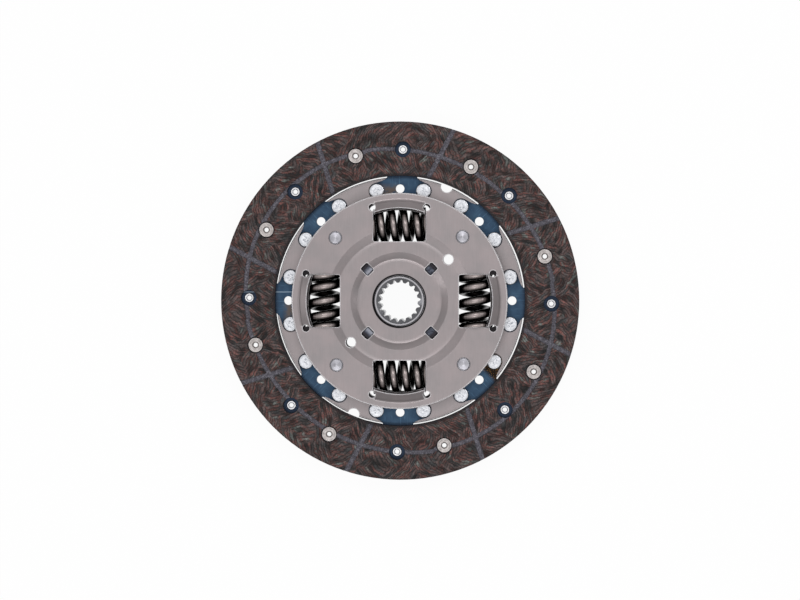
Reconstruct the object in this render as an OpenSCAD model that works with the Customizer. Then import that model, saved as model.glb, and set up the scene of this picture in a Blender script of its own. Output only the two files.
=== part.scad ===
// Clutch disc: a splined hub turns a few degrees inside a riveted pair of plates, against four
// coil springs, and blued spring segments carry a friction facing on each side of the plates.
// The origin is on the hub's axis at the end of its long boss. +Z points to the side of the
// retaining plate. Plan views in local frames have +Y along the radius.

/* [Hub] */
// Radius of the hub's barrel
hub_r = 13.3; // [12.8:0.1:16]
// Length of the long boss, below the flange
boss_l = 12.6; // [8:0.2:24]
// Length of the short nose, above the flange
nose_l = 6.4; // [6:0.2:12]
// Thickness of the hub's flange
flange_t = 6; // [4:0.1:8]
// Flange edge beyond the springs
flange_margin = 5; // [4:0.1:6]
// Radius to the tips of the spline teeth
spline_minor_r = 9.7; // [8.4:0.1:10.2]
// Radius to the bottoms of the spline spaces
spline_major_r = 11.2; // [10.5:0.1:11.5]

/* [Springs] */
// Radius of the circle that the springs' axes touch
spring_circle_r = 39.9; // [39:0.1:50]
// Outer diameter of a spring
spring_od = 19.2; // [16:0.2:23]
// Length of a spring in its window
spring_l = 27.6; // [23:0.2:33]
// Wire thickness of the stiff pair
stiff_wire = 5; // [4:0.1:5.4]
// Wire thickness of the light pair
light_wire = 4.1; // [3.2:0.1:4.4]
// Turn of the hub before the light pair is pressed
free_angle = 3.5; // [0:0.1:5]

/* [Plates] */
// Thickness of the disc plate and the retaining plate
plate_t = 2; // [1.4:0.1:2.4]
// Gap between the flange and each plate's flat ring
washer_gap = 1.6; // [1.2:0.1:2.4]
// Circle of the stop pins beyond the springs' circle
stop_offset = 7.6; // [7.2:0.1:10]
// Rim of the retaining plate beyond the springs
retaining_margin = 7.6; // [6.6:0.1:10]
// Circle of the segment rivets beyond the retaining plate's rim
segment_rivet_offset = 2.5; // [2:0.1:5]
// Rim of the disc plate beyond the circle of the segment rivets
disc_plate_margin = 6.1; // [5.2:0.1:8]

/* [Stop pins] */
// Radius of a stop pin between the plates
stop_pin_r = 4.5; // [3.6:0.1:5]
// Radius of the pin's riveted ends
stop_end_r = 3.5; // [2.6:0.1:3.6]
// Largest turn of the hub each way
stop_angle = 6.5; // [4.5:0.5:7]

/* [Friction pack] */
// Thickness of the front friction washer
front_washer_t = 1; // [0.8:0.1:1.6]
// Thickness of the thrust ring
thrust_ring_t = 1.2; // [0.8:0.1:1.6]
// Height of the cone spring as fitted
cone_spring_h = 1.6; // [1.4:0.1:2]
// Thickness of the cone spring
cone_spring_t = 0.8; // [0.5:0.1:1]
// Outer radius of the washers on both sides of the flange
washer_ro = 26; // [25.4:0.1:27]
// Gap between the hub's nose and the washers
washer_hub_gap = 0.9; // [0.5:0.1:1.2]

/* [Cushion segments] */
// Thickness of a segment
segment_t = 0.7; // [0.5:0.05:1]
// Height of the wave in a segment's petal
wave_h = 0.6; // [0.3:0.05:1]
// Gap between neighbouring petals, as an angle
petal_gap = 2.6; // [1.5:0.1:5]
// Radius of the segment rivets' heads
segment_head_r = 3.95; // [3:0.05:4.2]

/* [Facings] */
// Radial width of a facing
facing_width = 28.6; // [24:0.2:36]
// Thickness of a facing
facing_t = 3.5; // [2.8:0.1:4.5]
// Gap between the disc plate's rim and the facings
facing_gap = 0.7; // [0.4:0.1:1.2]
// Depth of the grooves
groove_depth = 0.9; // [0.4:0.1:1.2]
// Width of the slanted grooves
groove_w = 2.7; // [1.5:0.1:4]
// Width of the oval groove
oval_w = 2.4; // [1.5:0.1:4]

/* [Facing rivets] */
// Radius of a facing rivet's head
facing_head_r = 4.05; // [3:0.05:4.5]
// Radius of a facing rivet's shank
facing_shank_r = 2; // [1.7:0.1:2.4]
// Radius of the hole through a facing rivet
facing_rivet_bore_r = 1.2; // [0.6:0.1:1.3]

/* [Hidden] */
$fn = 96;

// Clearances
fit_gap = 0.05;
run_gap = 0.3;
cut = 1;

// Counts and places round the disc
segments = 8;
windows = 4;
segment_pitch = 360 / segments;
window_pitch = 360 / windows;
stop_phase = 45.5;
jig_hole_angles = [40.4, 220.4];
rim_notch_angles = [67.7, 247.7];

// Radii, from the springs' circle outwards
stop_circle_r = spring_circle_r + stop_offset;
spring_outer_r = spring_circle_r + spring_od / 2;
flange_r = spring_outer_r + flange_margin;
retaining_r = spring_outer_r + retaining_margin;
segment_rivet_r = retaining_r + segment_rivet_offset;
disc_plate_r = segment_rivet_r + disc_plate_margin;
facing_ri = disc_plate_r + facing_gap;
facing_ro = facing_ri + facing_width;

// Heights, from the end of the long boss upwards
flange_z = boss_l;
flange_top_z = flange_z + flange_t;
spring_z = flange_z + flange_t / 2;
hub_top_z = flange_top_z + nose_l;
disc_plate_z = flange_z - washer_gap - plate_t;
segment_z = disc_plate_z + plate_t;
retaining_z = flange_top_z + washer_gap;
thrust_ring_z = flange_top_z + front_washer_t;
cone_spring_z = thrust_ring_z + thrust_ring_t;
retaining_centre_z = cone_spring_z + cone_spring_h;
petal_top_z = segment_z + segment_t + wave_h;
flip_z = (segment_z + petal_top_z) / 2;

// Hub
hub_edge = 0.8;
fillet_r = 1.2;
mouth_r = hub_r - 1.1;
mouth_depth = 1.9;
foot_mouth_r = hub_r - 1.7;
spline_teeth = 18;
spline_phase = 4.4;
space_half_angle = 6.6;
space_root_half_angle = 1.7;
flange_corner_r = 0.8;
flange_wide_corner_r = 3.5;
flange_window_clearance = 0.6;
flange_wide_clearance = 1.2;
flange_jig_hole_r = 4;
stop_wall_gap = 0.1;
notch_depth_gap = 0.4;

// Windows in the plates
window_w = spring_l + 2 * fit_gap;
window_corner_r = 1;
window_clearance = 0.75;
lip_slit = 0.35;
lip_reach = 4.7;
lip_bend = 1.8;
lip_root_overlap = 0.5;
lip_edge_cover = 1.4;
lip_edge_sag = 2.8;
lip_spring_gap = 0.3;
relief_r = 1.8;
relief_side = 0.6;
relief_inset = 0.1;

// Steps, holes and edges of the plates
plate_bore_r = hub_r + 0.75;
bush_t = 2.3;
bush_collar_t = 5.7;
bush_r = hub_r + fit_gap + bush_t;
step_1_r0 = spring_circle_r - 5.7;
step_1_w = 4.6;
step_2_r0 = washer_ro - 3.7;
step_2_w = 3.8;
step_samples = 8;
rim_edge = 0.3;
jig_hole_offset = 6.1;
jig_hole_r = 2.65;
lug_hole_r = washer_ro - 2.2;
lug_hole_w = 4.8;
lug_hole_l = 5.6;
lug_hole_corner_r = 0.9;
lug_phase = 45.4;
lug_w = 4.3;
lug_ri = washer_ro - 4.5;
lug_ro = washer_ro - 1.2;
lug_top_gap = 0.4;
rim_notch_r = 3.15;
rim_notch_inset = 0.2;
stop_ring_gap = 0.35;
stop_ring_depth = 0.5;
stop_end_proud = 0.15;

// Cushion segments
segment_rivet_angle = 12.05;
segment_shank_r = 2.3;
segment_head_h = 1.5;
segment_tail_r = 3.7;
segment_tail_h = 1.4;
ear_rim = 0.35;
root_inset = 4.2;
tooling_hole_r = 2.3;
tooling_hole_inset = 0.1;
neck_left = 5.95;
neck_right = -7.86;
neck_flare = 4;
neck_overlap = 0.6;
petal_inset = 2.6;
petal_outer_inset = 1.2;
petal_corner_r = 3;
ramp_w = 5;
edge_ramp_w = 3;
ramp_start = 2.5;
edge_ramp_start = 23;

// Facings and their rivets
near_rivet_angle = 17.05;
far_rivet_angle = -1.1;
petal_angle = (near_rivet_angle + far_rivet_angle) / 2;
facing_rivet_r = (facing_ri + facing_ro) / 2 - 0.4;
counterbore_r = facing_head_r + 0.35;
counterbore_depth = 2;
facing_floor_t = facing_t - counterbore_depth;
access_hole_r = counterbore_r - 0.2;
groove_outer_angle = 27.5;
groove_inner_angle = 32.1;
oval_angle = 145;
oval_swell = 3;
oval_pinch = 2.1;
facing_head_h = 1;
tail_h = 0.9;
tail_spread = 0.5;
rivet_mouth = 0.6;

// Springs
wire_sides = 10;
rings_a_turn = 20;
stiff_turns = 4.7;
stiff_active = 1.3;
stiff_end_gap = 0.2;
stiff_tip_t = 1;
stiff_phase = 0;
light_turns = 5.56;
light_active = 1.7;
light_end_gap = 0.3;
light_tip_t = 0.3;
light_phase = 0.5;

// A point of the plan, from its radius and its angle
function polar(r, a) = [r * cos(a), r * sin(a)];

// A point past q on the line from p
function beyond(p, q) = q + 0.3 * (q - p);

// A smooth rise from 0 to 1 between a and b
function rise(x, a, b) =
    let (u = max(0, min(1, (x - a) / (b - a))))
    u * u * (3 - 2 * u);

// Half width of a spring where a plate's inner face stands h above its axis
function spring_half_width(h) = sqrt(max(0, pow(spring_od / 2, 2) - h * h));

module wedge(from, to, reach) {
    mid = (from + to) / 2;
    half = (to - from) / 2;
    polygon([
        [0, 0],
        polar(reach / cos(half / 2), from),
        polar(reach / cos(half / 2), mid),
        polar(reach / cos(half / 2), to)
    ]);
}

module ring_plan(ri, ro) {
    difference() {
        circle(r = ro);
        circle(r = ri);
    }
}

module sector_plan(ri, ro, from, to) {
    intersection() {
        ring_plan(ri, ro);
        wedge(from, to, ro + cut);
    }
}

// A rectangle from (-w/2, y0) to (w/2, y1) with round corners
module round_rect(w, y0, y1, r) {
    translate([-w / 2 + r, y0])
        square([w - 2 * r, y1 - y0]);
    translate([-w / 2, y0 + r])
        square([w, y1 - y0 - 2 * r]);
    for (x = [-w / 2 + r, w / 2 - r], y = [y0 + r, y1 - r])
        translate([x, y])
            circle(r = r, $fn = 32);
}

// Holes of one radius round a circle, as a plan
module hole_circle(r, circle_r, angles) {
    for (a = angles)
        translate(polar(circle_r, a))
            circle(r = r, $fn = 48);
}

function round_angles(count, phase) = [for (i = [0 : count - 1]) phase + i * 360 / count];

segment_rivet_angles = [
    for (i = [0 : segments - 1], s = [-1, 1]) i * segment_pitch + s * segment_rivet_angle
];
tooling_r = segment_rivet_r - tooling_hole_inset;
jig_circle_r = spring_circle_r - jig_hole_offset;

// Hub

// Corners of the spline space at angle a, on its side s
function space_tip(a, s) = polar(spline_minor_r, a + s * space_half_angle);
function space_root(a, s) = polar(spline_major_r, a + s * space_root_half_angle);

module spline_plan() {
    circle(r = spline_minor_r);
    intersection() {
        circle(r = spline_major_r);
        for (a = round_angles(spline_teeth, spline_phase))
            polygon([
                beyond(space_root(a, -1), space_tip(a, -1)),
                beyond(space_root(a, 1), space_tip(a, 1)),
                beyond(space_tip(a, 1), space_root(a, 1)),
                beyond(space_tip(a, -1), space_root(a, -1))
            ]);
    }
}

// Window of the flange, in a frame with +Y along the radius
module flange_window_plan(w, clearance, corner_r) {
    half = spring_od / 2 + clearance;
    round_rect(w, spring_circle_r - half, spring_circle_r + half, corner_r);
}

// Notch in which a stop pin can swing by the stop angle each way
module stop_notch_plan() {
    half = stop_pin_r + stop_wall_gap;
    bottom = stop_circle_r - stop_pin_r - notch_depth_gap;
    intersection() {
        ring_plan(bottom, flange_r + 2 * cut);
        polygon([
            [0, 0],
            polar(bottom - 2, -stop_angle) + half * polar(1, -stop_angle - 90),
            polar(flange_r + 4 * cut, -stop_angle) + half * polar(1, -stop_angle - 90),
            polar(flange_r + 4 * cut, stop_angle) + half * polar(1, stop_angle + 90),
            polar(bottom - 2, stop_angle) + half * polar(1, stop_angle + 90)
        ]);
    }
}

module flange_plan() {
    light_window_w = window_w + 2 * spring_circle_r * free_angle * PI / 180;
    difference() {
        circle(r = flange_r);
        circle(r = spline_major_r + cut);
        for (i = [0 : windows - 1])
            rotate(i * window_pitch - 90)
                if (i % 2 == 0)
                    flange_window_plan(window_w, flange_window_clearance, flange_corner_r);
                else
                    flange_window_plan(light_window_w, flange_wide_clearance, flange_wide_corner_r);
        for (a = round_angles(windows, stop_phase))
            rotate(a)
                stop_notch_plan();
        hole_circle(flange_jig_hole_r, jig_circle_r, jig_hole_angles);
    }
}

module barrel_profile() {
    inner = spline_major_r + 0.4;
    difference() {
        union() {
            polygon([
                [0, 0],
                [hub_r - hub_edge, 0],
                [hub_r, hub_edge],
                [hub_r, hub_top_z - hub_edge / 2],
                [hub_r - hub_edge / 2, hub_top_z],
                [0, hub_top_z]
            ]);
            translate([inner, flange_z - fillet_r])
                square([hub_r + fillet_r - inner, fillet_r + cut]);
        }
        translate([hub_r + fillet_r, flange_z - fillet_r])
            circle(r = fillet_r, $fn = 48);
    }
}

module hub() {
    color("dimgray")
        difference() {
            union() {
                rotate_extrude()
                    barrel_profile();
                translate([0, 0, flange_z])
                    linear_extrude(flange_t)
                        flange_plan();
            }
            translate([0, 0, -cut])
                linear_extrude(hub_top_z + 2 * cut)
                    spline_plan();
            rotate_extrude()
                polygon([
                    [0, hub_top_z + cut],
                    [mouth_r + cut, hub_top_z + cut],
                    [mouth_r, hub_top_z],
                    [spline_minor_r - 0.5, hub_top_z - mouth_depth],
                    [0, hub_top_z - mouth_depth]
                ]);
            rotate_extrude()
                polygon([
                    [0, -cut],
                    [foot_mouth_r + cut, -cut],
                    [foot_mouth_r, 0],
                    [spline_minor_r - 0.5, mouth_depth],
                    [0, mouth_depth]
                ]);
        }
}

// Plates

// The lip's free edge is an arc, which leaves the spring bare most at the lip's two ends
lip_w = window_w - 2 * lip_slit;
lip_edge_r = (lip_w * lip_w / 4 + lip_edge_sag * lip_edge_sag) / (2 * lip_edge_sag);
lip_edge_y = spring_outer_r - lip_edge_cover;
lip_end_y = lip_edge_y - lip_edge_sag;
lip_out_r = spring_outer_r + lip_reach;
lip_in_r = lip_end_y - 2;
lip_room_h = 14;

// The lip slopes just enough to pass over the spring at its ends
lip_slope = (
    sqrt(pow(spring_od / 2 + lip_spring_gap, 2) - pow(lip_end_y - spring_circle_r, 2))
    - (retaining_z - spring_z)
) / (lip_out_r - lip_bend / 2 - norm([lip_w / 2, lip_end_y]));
lip_t = plate_t * sqrt(1 + lip_slope * lip_slope);

// Rise of the lip towards the disc's axis, from where it starts
function lip_rise(r) =
    let (d = lip_out_r - r)
    d <= 0 ? 0 : d < lip_bend ? lip_slope * d * d / (2 * lip_bend) : lip_slope * (d - lip_bend / 2);

lip_radii = concat(
    [lip_out_r + lip_root_overlap],
    [for (i = [0 : 6]) lip_out_r - i * lip_bend / 6],
    [lip_in_r]
);

// Section of the lip, which stands on z = 0 and rises towards the axis
module lip_profile() {
    last = len(lip_radii) - 1;
    polygon(concat(
        [for (i = [0 : last]) [lip_radii[i], lip_rise(lip_radii[i])]],
        [for (i = [last : -1 : 0])
            let (r = lip_radii[i], t = plate_t + (lip_t - plate_t) * min(1, lip_rise(r) / 0.5))
            [r, lip_rise(r) + t]]
    ));
}

// Room of a lip: between its slits, and outside its curved edge, which is square to its slope
module lip_room() {
    edge_z = lip_rise(lip_edge_y);
    difference() {
        translate([-lip_w / 2, lip_in_r + lip_root_overlap, -cut])
            cube([lip_w, lip_out_r + 2 * cut - lip_in_r, lip_room_h]);
        translate([0, lip_edge_y - lip_edge_r, -2 * cut])
            cylinder(
                r1 = lip_edge_r - lip_slope * (edge_z + 2 * cut),
                r2 = lip_edge_r + lip_slope * (lip_room_h + cut - edge_z),
                h = lip_room_h + 3 * cut
            );
    }
}

// What a window takes out of a plate: the spring's opening and the lip's bed
module window_plan(inner_y) {
    round_rect(window_w, inner_y, spring_outer_r + window_corner_r, window_corner_r);
    intersection() {
        circle(r = lip_out_r);
        translate([-lip_w / 2, spring_circle_r])
            square([lip_w, lip_out_r]);
    }
}

module relief_holes_plan() {
    for (s = [-1, 1])
        translate([s * (window_w / 2 + relief_side), spring_outer_r - relief_inset])
            circle(r = relief_r, $fn = 48);
}

// Lips of all windows, on a plate whose inner face is at z = 0
module lips() {
    for (i = [0 : windows - 1])
        rotate(i * window_pitch - 90)
            intersection() {
                rotate_extrude()
                    lip_profile();
                lip_room();
            }
}

// A plate with its inner face at z = 0 from a profile, with window openings, lips and holes
module windowed_plate(window_y) {
    difference() {
        union() {
            difference() {
                children(0);
                translate([0, 0, -cut])
                    linear_extrude(12)
                        for (i = [0 : windows - 1])
                            rotate(i * window_pitch - 90)
                                window_plan(window_y);
            }
            lips();
        }
        translate([0, 0, -cut])
            linear_extrude(12) {
                for (i = [0 : windows - 1])
                    rotate(i * window_pitch - 90)
                        relief_holes_plan();
                children(1);
            }
    }
}

// Countersinks that leave a dark ring round each riveted end, in the outer face at z
module stop_rings(z) {
    for (a = round_angles(windows, stop_phase))
        translate(concat(polar(stop_circle_r, a), [z - stop_ring_depth]))
            cylinder(r = stop_end_r + fit_gap + 0.05, h = stop_ring_depth + cut, $fn = 48);
}

step_h = (retaining_centre_z - retaining_z) / 2;

// Height of the retaining plate's inner face over its outer flat
function step_rise(r) =
    step_h * (2 - rise(r, step_1_r0, step_1_r0 + step_1_w) - rise(r, step_2_r0, step_2_r0 + step_2_w));

step_radii = concat(
    [plate_bore_r],
    [for (i = [0 : step_samples]) step_2_r0 + i * step_2_w / step_samples],
    [for (i = [0 : step_samples]) step_1_r0 + i * step_1_w / step_samples]
);

module retaining_profile() {
    last = len(step_radii) - 1;
    polygon(concat(
        [for (i = [0 : last]) [step_radii[i], step_rise(step_radii[i])]],
        [
            [retaining_r - rim_edge, 0],
            [retaining_r, rim_edge],
            [retaining_r, plate_t - rim_edge],
            [retaining_r - rim_edge, plate_t]
        ],
        [for (i = [last : -1 : 0]) [step_radii[i], step_rise(step_radii[i]) + plate_t]]
    ));
}

module retaining_holes_plan() {
    hole_circle(stop_end_r + fit_gap, stop_circle_r, round_angles(windows, stop_phase));
    hole_circle(jig_hole_r, jig_circle_r, jig_hole_angles);
    for (a = round_angles(windows, lug_phase))
        rotate(a - 90)
            translate([0, lug_hole_r])
                round_rect(lug_hole_w, -lug_hole_l / 2, lug_hole_l / 2, lug_hole_corner_r);
}

module retaining_plate() {
    window_y = spring_circle_r - window_clearance
        - spring_half_width(retaining_z + step_h - spring_z);
    color("rosybrown")
        translate([0, 0, retaining_z])
            windowed_plate(window_y) {
                rotate_extrude()
                    retaining_profile();
                retaining_holes_plan();
            }
}

module disc_plate_profile() {
    polygon([
        [bush_r + fit_gap, 0],
        [disc_plate_r - rim_edge, 0],
        [disc_plate_r, rim_edge],
        [disc_plate_r, plate_t - rim_edge],
        [disc_plate_r - rim_edge, plate_t],
        [bush_r + fit_gap, plate_t]
    ]);
}

module disc_plate_holes_plan() {
    hole_circle(stop_end_r + fit_gap, stop_circle_r, [for (a = round_angles(windows, stop_phase)) -a]);
    hole_circle(jig_hole_r, jig_circle_r, [for (a = jig_hole_angles) -a]);
    hole_circle(segment_shank_r + fit_gap, segment_rivet_r, [for (a = segment_rivet_angles) -a]);
    hole_circle(tooling_hole_r, tooling_r, round_angles(segments, 0));
    hole_circle(rim_notch_r, disc_plate_r - rim_notch_inset, [for (a = rim_notch_angles) -a]);
}

// The disc plate is drawn with its inner face down and turned over about the X axis
module disc_plate() {
    color("darkgray")
        translate([0, 0, segment_z])
            rotate([180, 0, 0])
                windowed_plate(spring_circle_r - window_clearance - spring_half_width(spring_z - segment_z)) {
                    rotate_extrude()
                        disc_plate_profile();
                    disc_plate_holes_plan();
                }
}

module stop_pins() {
    low = disc_plate_z - stop_end_proud;
    high = retaining_z + plate_t + stop_end_proud;
    end_r = stop_end_r - stop_ring_gap;
    color("lightsteelblue")
        for (a = round_angles(windows, stop_phase))
            translate(polar(stop_circle_r, a))
                rotate_extrude($fn = 48)
                    polygon([
                        [0, low],
                        [end_r - 0.2, low],
                        [end_r, low + 0.2],
                        [end_r, disc_plate_z + stop_ring_depth],
                        [stop_end_r, disc_plate_z + stop_ring_depth],
                        [stop_end_r, segment_z],
                        [stop_pin_r, segment_z],
                        [stop_pin_r, retaining_z],
                        [stop_end_r, retaining_z],
                        [stop_end_r, retaining_z + plate_t - stop_ring_depth],
                        [end_r, retaining_z + plate_t - stop_ring_depth],
                        [end_r, high - 0.2],
                        [end_r - 0.2, high],
                        [0, high]
                    ]);
}

// Springs

// Half angle of the flat on the wire's section whose middle stands x from the spring's middle
function flat_half_angle(wire, x) =
    let (turn = 180 / wire_sides)
    max(turn, acos(max(-1, min(cos(turn), (spring_l / 2 - abs(x)) / (wire / 2)))));

// A right-hand coil round the X axis, with closer turns at both ends, which are ground flat
module coil(wire, turns, active, end_gap, tip_t, phase) {
    rings = round(turns * rings_a_turn);
    mean_r = (spring_od - wire) / 2;
    end_pitch = wire + end_gap;
    tip_x = spring_l / 2 + wire / 2 - tip_t;
    pitch = (tip_x - end_pitch * (turns / 2 - active)) / active;
    points = [
        for (i = [0 : rings])
            let (
                u = turns * (i / rings - 0.5),
                a = 90 + 360 * (u + phase),
                x = sign(u) * (pitch * min(active, abs(u)) + end_pitch * max(0, abs(u) - active)),
                flat = flat_half_angle(wire, x)
            )
            for (j = [0 : wire_sides - 1])
                let (
                    k = u < 0 ? (j + wire_sides / 2) % wire_sides : j,
                    b = (u < 0 ? 270 : 90) + flat + (360 - 2 * flat) * k / (wire_sides - 1),
                    r = mean_r + wire / 2 * cos(b)
                )
                [x + wire / 2 * sin(b), r * cos(a), r * sin(a)]
    ];
    sides = [
        for (i = [0 : rings - 1], j = [0 : wire_sides - 1], half = [0, 1])
            let (
                p = i * wire_sides + j,
                q = i * wire_sides + (j + 1) % wire_sides
            )
            half == 0 ? [p, q, p + wire_sides] : [q, q + wire_sides, p + wire_sides]
    ];
    start = [[for (j = [wire_sides - 1 : -1 : 0]) j]];
    end = [[for (j = [0 : wire_sides - 1]) rings * wire_sides + j]];
    polyhedron(points, concat(sides, start, end), convexity = 10);
}

module spring_at(i) {
    color("black")
        rotate(i * window_pitch + 90)
            translate([0, -spring_circle_r, spring_z])
                if (i % 2 == 0)
                    coil(stiff_wire, stiff_turns, stiff_active, stiff_end_gap, stiff_tip_t, stiff_phase);
                else
                    coil(light_wire, light_turns, light_active, light_end_gap, light_tip_t, light_phase);
}

module spring_1() {
    spring_at(0);
}

module spring_2() {
    spring_at(1);
}

module spring_3() {
    spring_at(2);
}

module spring_4() {
    spring_at(3);
}

// Friction pack and bush

module washer(ri, ro, z, t) {
    translate([0, 0, z])
        linear_extrude(t)
            ring_plan(ri, ro);
}

module front_friction_washer() {
    color("saddlebrown")
        washer(hub_r + washer_hub_gap, washer_ro, flange_top_z, front_washer_t);
}

module back_friction_washer() {
    color("saddlebrown")
        washer(hub_r + bush_collar_t + run_gap, washer_ro, segment_z, washer_gap);
}

module thrust_ring() {
    lug_z = thrust_ring_z + thrust_ring_t / 2;
    lug_top_z = retaining_centre_z + plate_t - lug_top_gap;
    color("midnightblue") {
        washer(hub_r + washer_hub_gap, washer_ro, thrust_ring_z, thrust_ring_t);
        for (a = round_angles(windows, lug_phase))
            rotate(a)
                translate([lug_ri, -lug_w / 2, lug_z])
                    cube([lug_ro - lug_ri, lug_w, lug_top_z - lug_z]);
    }
}

module cone_spring() {
    ri = hub_r + washer_hub_gap + run_gap;
    ro = lug_ri - run_gap;
    color("slategray")
        translate([0, 0, cone_spring_z])
            rotate_extrude()
                polygon([
                    [ri, cone_spring_h - cone_spring_t],
                    [ro, 0],
                    [ro, cone_spring_t],
                    [ri, cone_spring_h]
                ]);
}

module hub_bush() {
    ri = hub_r + fit_gap;
    sleeve_z = disc_plate_z - 0.6;
    color("peru")
        rotate_extrude()
            polygon([
                [ri, sleeve_z],
                [bush_r, sleeve_z],
                [bush_r, segment_z],
                [hub_r + bush_collar_t, segment_z],
                [hub_r + bush_collar_t, flange_z],
                [hub_r + fillet_r, flange_z],
                [hub_r + fillet_r, flange_z - fillet_r - fit_gap],
                [ri, flange_z - fillet_r - fit_gap]
            ]);
}

// Cushion segments

// Plan of the riveted root, up to the neck that runs into the petal under the facing's inner edge
module root_plan() {
    ear_r = segment_head_r + ear_rim;
    a = segment_rivet_angle;
    half_neck = neck_flare + (neck_left - neck_right) / 2;
    neck_end_r = (facing_ri + petal_inset) / cos(half_neck) + neck_overlap;
    polygon([
        polar(neck_end_r, neck_left + neck_flare),
        polar(disc_plate_r + 0.4, neck_left),
        polar(disc_plate_r - 0.8, neck_left + 1.1),
        polar(segment_rivet_r + ear_r + 0.4, neck_left + 3),
        polar(segment_rivet_r + ear_r, a),
        polar(segment_rivet_r - root_inset, a),
        polar(segment_rivet_r - root_inset, -a),
        polar(segment_rivet_r + ear_r, -a),
        polar(segment_rivet_r + ear_r + 0.4, neck_right - 3),
        polar(disc_plate_r - 0.8, neck_right - 1.1),
        polar(disc_plate_r + 0.4, neck_right),
        polar(neck_end_r, neck_right - neck_flare)
    ]);
    hole_circle(ear_r, segment_rivet_r, [-a, a]);
}

// Plan of the petal between the facings, with round corners
module petal_plan() {
    ri = facing_ri + petal_inset;
    ro = facing_ro - petal_outer_inset;
    half = (segment_pitch - petal_gap) / 2;
    r = petal_corner_r;
    outer_turn = asin(r / (ro - r));
    inner_turn = asin(r / (ri + r));
    rotate(petal_angle) {
        sector_plan(ri + r, ro - r, -half, half);
        sector_plan((ri + ro) / 2, ro, -half + outer_turn, half - outer_turn);
        sector_plan(ri, (ri + ro) / 2, -half + inner_turn, half - inner_turn);
        hole_circle(r, ro - r, [-half + outer_turn, half - outer_turn]);
        hole_circle(r, ri + r, [-half + inner_turn, half - inner_turn]);
    }
}

module segment_holes_plan() {
    hole_circle(segment_shank_r + fit_gap, segment_rivet_r, [-segment_rivet_angle, segment_rivet_angle]);
    hole_circle(tooling_hole_r, tooling_r, [0]);
    hole_circle(facing_shank_r + fit_gap, facing_rivet_r, [near_rivet_angle, far_rivet_angle]);
}

// Section of the petal across its radius: low under one facing rivet, high under the other
module wave_profile() {
    reach = facing_ro;
    line = [
        [-reach, wave_h],
        [-edge_ramp_start - edge_ramp_w, wave_h],
        [-edge_ramp_start, 0],
        [ramp_start, 0],
        [ramp_start + ramp_w, wave_h],
        [edge_ramp_start, wave_h],
        [edge_ramp_start + edge_ramp_w, 0],
        [reach, 0]
    ];
    last = len(line) - 1;
    polygon(concat(line, [for (i = [last : -1 : 0]) line[i] + [0, segment_t]]));
}

module cushion_segment(i) {
    split_r = disc_plate_r + 1.6;
    color("steelblue")
        rotate(i * segment_pitch)
            translate([0, 0, segment_z])
                difference() {
                    union() {
                        linear_extrude(segment_t)
                            intersection() {
                                root_plan();
                                circle(r = split_r + 0.2);
                            }
                        intersection() {
                            translate([0, 0, -cut])
                                linear_extrude(wave_h + segment_t + 2 * cut)
                                    difference() {
                                        union() {
                                            root_plan();
                                            petal_plan();
                                        }
                                        circle(r = split_r);
                                    }
                            rotate([0, 0, petal_angle])
                                rotate([90, 0, 90])
                                    translate([0, 0, split_r / 2])
                                        linear_extrude(facing_ro)
                                            wave_profile();
                        }
                    }
                    translate([0, 0, -cut])
                        linear_extrude(wave_h + segment_t + 2 * cut)
                            segment_holes_plan();
                }
}

module cushion_segment_1() {
    cushion_segment(0);
}

module cushion_segment_2() {
    cushion_segment(1);
}

module cushion_segment_3() {
    cushion_segment(2);
}

module cushion_segment_4() {
    cushion_segment(3);
}

module cushion_segment_5() {
    cushion_segment(4);
}

module cushion_segment_6() {
    cushion_segment(5);
}

module cushion_segment_7() {
    cushion_segment(6);
}

module cushion_segment_8() {
    cushion_segment(7);
}

module segment_rivets() {
    top = segment_z + segment_t;
    color("gainsboro")
        for (a = segment_rivet_angles)
            translate(polar(segment_rivet_r, a))
                rotate_extrude($fn = 48)
                    polygon([
                        [0, disc_plate_z - segment_tail_h],
                        [segment_tail_r - 0.6, disc_plate_z - segment_tail_h],
                        [segment_tail_r, disc_plate_z - segment_tail_h + 0.6],
                        [segment_tail_r, disc_plate_z],
                        [segment_shank_r, disc_plate_z],
                        [segment_shank_r, top],
                        [segment_head_r, top],
                        [segment_head_r, top + segment_head_h - 0.5],
                        [segment_head_r - 0.2, top + segment_head_h - 0.2],
                        [segment_head_r - 0.6, top + segment_head_h],
                        [0, top + segment_head_h]
                    ]);
}

// Facings

// An oval ring of four arcs, with its long axis along X
module oval_plan(long_r, short_r) {
    end_r = short_r * short_r / long_r;
    side_r = long_r * long_r / short_r;
    end_x = long_r - end_r;
    side_y = side_r - short_r;
    joint_x = end_x + end_r * end_x / sqrt(end_x * end_x + side_y * side_y);
    intersection() {
        translate([0, -side_y])
            circle(r = side_r, $fn = 200);
        translate([0, side_y])
            circle(r = side_r, $fn = 200);
        translate([-joint_x, -long_r])
            square([2 * joint_x, 2 * long_r]);
    }
    for (s = [0, 180])
        rotate(s)
            intersection() {
                translate([end_x, 0])
                    circle(r = end_r, $fn = 200);
                translate([joint_x - 0.01, -long_r])
                    square(2 * long_r);
            }
}

module oval_groove_plan() {
    mid_r = (facing_ri + facing_ro) / 2;
    rotate(oval_angle)
        difference() {
            oval_plan(mid_r + oval_swell + oval_w / 2, mid_r - oval_pinch + oval_w / 2);
            oval_plan(mid_r + oval_swell - oval_w / 2, mid_r - oval_pinch - oval_w / 2);
        }
}

// Slanted grooves, each along the line from its outer to its inner end
module slanted_grooves_plan() {
    from = polar(facing_ro, groove_outer_angle);
    to = polar(facing_ri, groove_inner_angle);
    way = (from - to) / norm(from - to);
    for (i = [0 : segments - 1])
        rotate(i * segment_pitch)
            translate(to - 3 * way)
                rotate(atan2(way[1], way[0]))
                    translate([0, -groove_w / 2])
                        square([norm(from - to) + 6, groove_w]);
}

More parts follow.
